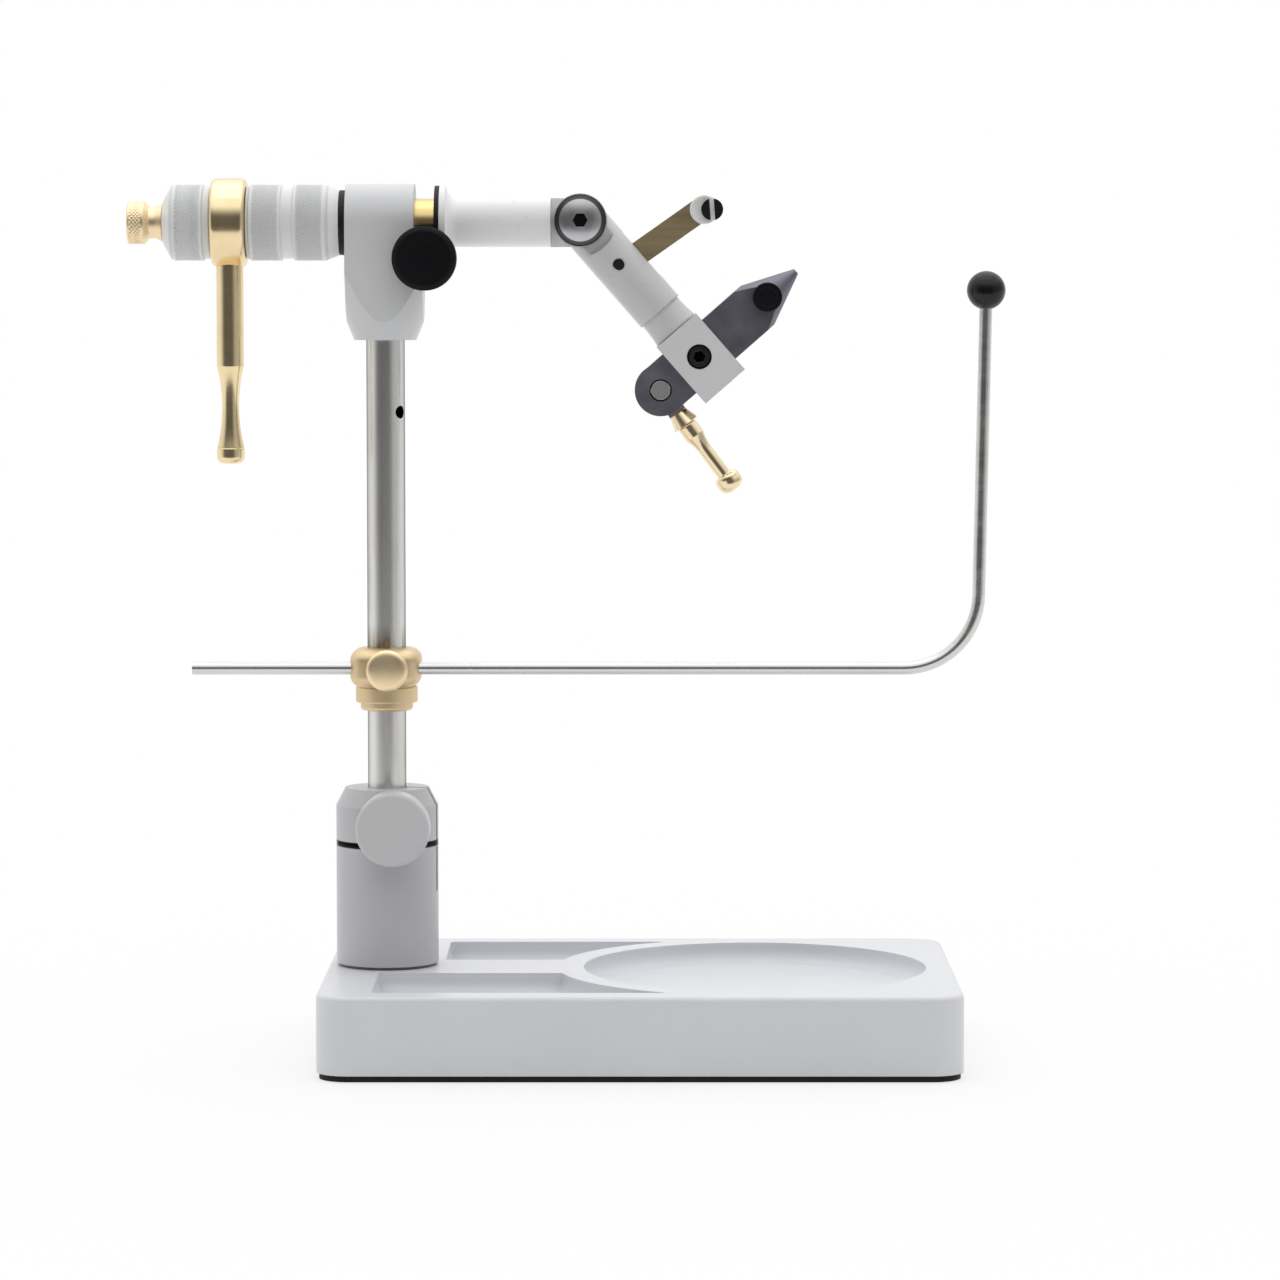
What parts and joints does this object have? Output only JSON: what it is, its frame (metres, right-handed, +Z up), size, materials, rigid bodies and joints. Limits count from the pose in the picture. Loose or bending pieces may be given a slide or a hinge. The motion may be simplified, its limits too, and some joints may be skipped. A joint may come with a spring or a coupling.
{
  "type": "fly tying vise",
  "caption": "Pedestal fly tying vise with rotary head, crank, cam lever jaws, hook gauge and bobbin cradle on a grey base with dish and pockets.",
  "frame": {"origin": "the middle of the base's footprint, on the table under the foot pad", "axes": "+X to the right in the picture, from the crank towards the jaws along the rotary axis; +Y away from the camera; +Z up along the post"},
  "size_m": [0.2164, 0.103, 0.2159],
  "materials": {
    "coat": "light cool grey satin powder coat",
    "sleeve": "pale grey satin anodised, knurled",
    "block": "satin silver grey",
    "steel": "ground and polished stainless steel",
    "brass": "polished turned brass",
    "collar": "satin turned brass",
    "gauge": "dull brown brass",
    "jaw": "blued tool steel, slate grey with bare lighter nose",
    "black": "black oxide",
    "gunmetal": "dark gunmetal",
    "nickel": "bright nickel",
    "knob": "black satin plastic",
    "ball": "glossy black plastic",
    "washer": "black plain plastic",
    "pad": "plain black rubber"
  },
  "bodies": {
    "base": {"base_plate": "coat", "foot_pad": "pad", "clamp_column": "coat", "column_bolt": "steel"},
    "column_clamp": {"column_knob": "coat", "column_stud": "steel"},
    "post": {"post": "steel"},
    "collar": {"stop_collar": "collar", "collar_screw": "black"},
    "cradle": {"cradle_body": "collar"},
    "cradle_screw": {"cradle_knob": "collar"},
    "rod": {"cradle_rod": "steel", "rod_ball": "ball"},
    "head": {"head_block": "coat", "head_set_screw": "black", "front_bush": "brass", "rear_bush": "brass"},
    "lock": {"lock_knob": "knob", "lock_stud": "steel"},
    "rotor": {"spindle": "steel", "tail_sleeve": "sleeve", "grip_sleeve": "sleeve", "crank_ring": "brass", "crank_handle": "brass", "crank_set_screw": "black", "drag_washer": "washer", "thrust_washer": "washer", "rotor_arm": "coat", "pivot_screw": "gunmetal", "pivot_washer": "washer"},
    "drag_nut": {"tension_nut": "brass"},
    "jaw_arm": {"arm_bar": "coat", "jaw_block": "block", "gauge_pin": "black", "jaw_screw": "black", "rear_jaw": "jaw", "cam_pin": "steel"},
    "gauge": {"gauge_bar": "gauge", "gauge_button": "nickel", "gauge_screw": "black"},
    "cam": {"cam_barrel": "brass", "lever_handle": "brass"},
    "front_jaw": {"front_jaw": "jaw"},
    "jaw_clamp": {"jaw_knob": "knob", "jaw_stud": "steel"}
  },
  "joints": [
    {"name": "column_screw_turn", "type": "hinge", "parent": "base", "child": "column_clamp", "pos_m": [-0.0607, -0.013, 0.05635], "axis": [0, 1, 0], "continuous": true},
    {"name": "post_height", "type": "slide", "parent": "base", "child": "post", "axis": [0, 0, 1], "range_m": [-0.007, 0.012]},
    {"name": "collar_height", "type": "slide", "parent": "post", "child": "collar", "axis": [0, 0, 1], "range_m": [-0.012, 0.025]},
    {"name": "cradle_swing", "type": "hinge", "parent": "collar", "child": "cradle", "pos_m": [-0.063, 0.005, 0.0952], "axis": [0, 0, 1], "range_deg": [-150, 150]},
    {"name": "cradle_screw_turn", "type": "hinge", "parent": "cradle", "child": "cradle_screw", "pos_m": [-0.0622, -0.009, 0.0951], "axis": [0, 1, 0], "continuous": true},
    {"name": "rod_slide", "type": "slide", "parent": "cradle", "child": "rod", "axis": [1, 0, 0], "range_m": [-0.028, 0.03]},
    {"name": "head_swivel", "type": "hinge", "parent": "post", "child": "head", "pos_m": [-0.063, 0.005, 0.185], "axis": [0, 0, 1], "range_deg": [-180, 180]},
    {"name": "lock_screw_turn", "type": "hinge", "parent": "head", "child": "lock", "pos_m": [-0.05272, -0.009, 0.1961], "axis": [0, 1, 0], "continuous": true},
    {"name": "rotary_spin", "type": "hinge", "parent": "head", "child": "rotor", "pos_m": [-0.063, 0.005, 0.205], "axis": [1, 0, 0], "continuous": true},
    {"name": "drag_nut_turn", "type": "hinge", "parent": "rotor", "child": "drag_nut", "pos_m": [-0.122, 0.005, 0.205], "axis": [1, 0, 0], "continuous": true},
    {"name": "arm_tilt", "type": "hinge", "parent": "rotor", "child": "jaw_arm", "pos_m": [-0.0147, 0.005, 0.2055], "axis": [0, 1, 0], "range_deg": [-45, 20]},
    {"name": "gauge_swing", "type": "hinge", "parent": "jaw_arm", "child": "gauge", "pos_m": [-0.00522, 0.005, 0.19467], "axis": [0, 1, 0], "range_deg": [-25, 25]},
    {"name": "cam_lever", "type": "hinge", "parent": "jaw_arm", "child": "cam", "pos_m": [0.00509, 0.005, 0.16368], "axis": [0, 1, 0], "range_deg": [0, 88]},
    {"name": "jaw_pinch", "type": "hinge", "parent": "jaw_arm", "child": "front_jaw", "pos_m": [0.01461, 0.005, 0.17202], "axis": [0.6587, 0, -0.7524], "range_deg": [0, 0.8]},
    {"name": "jaw_screw_turn", "type": "hinge", "parent": "front_jaw", "child": "jaw_clamp", "pos_m": [0.03135, 0, 0.18667], "axis": [0, 1, 0], "continuous": true}
  ],
  "couplings": [
    {"joint": "jaw_pinch", "follows": "cam_lever", "ratio": 0.009}
  ]
}
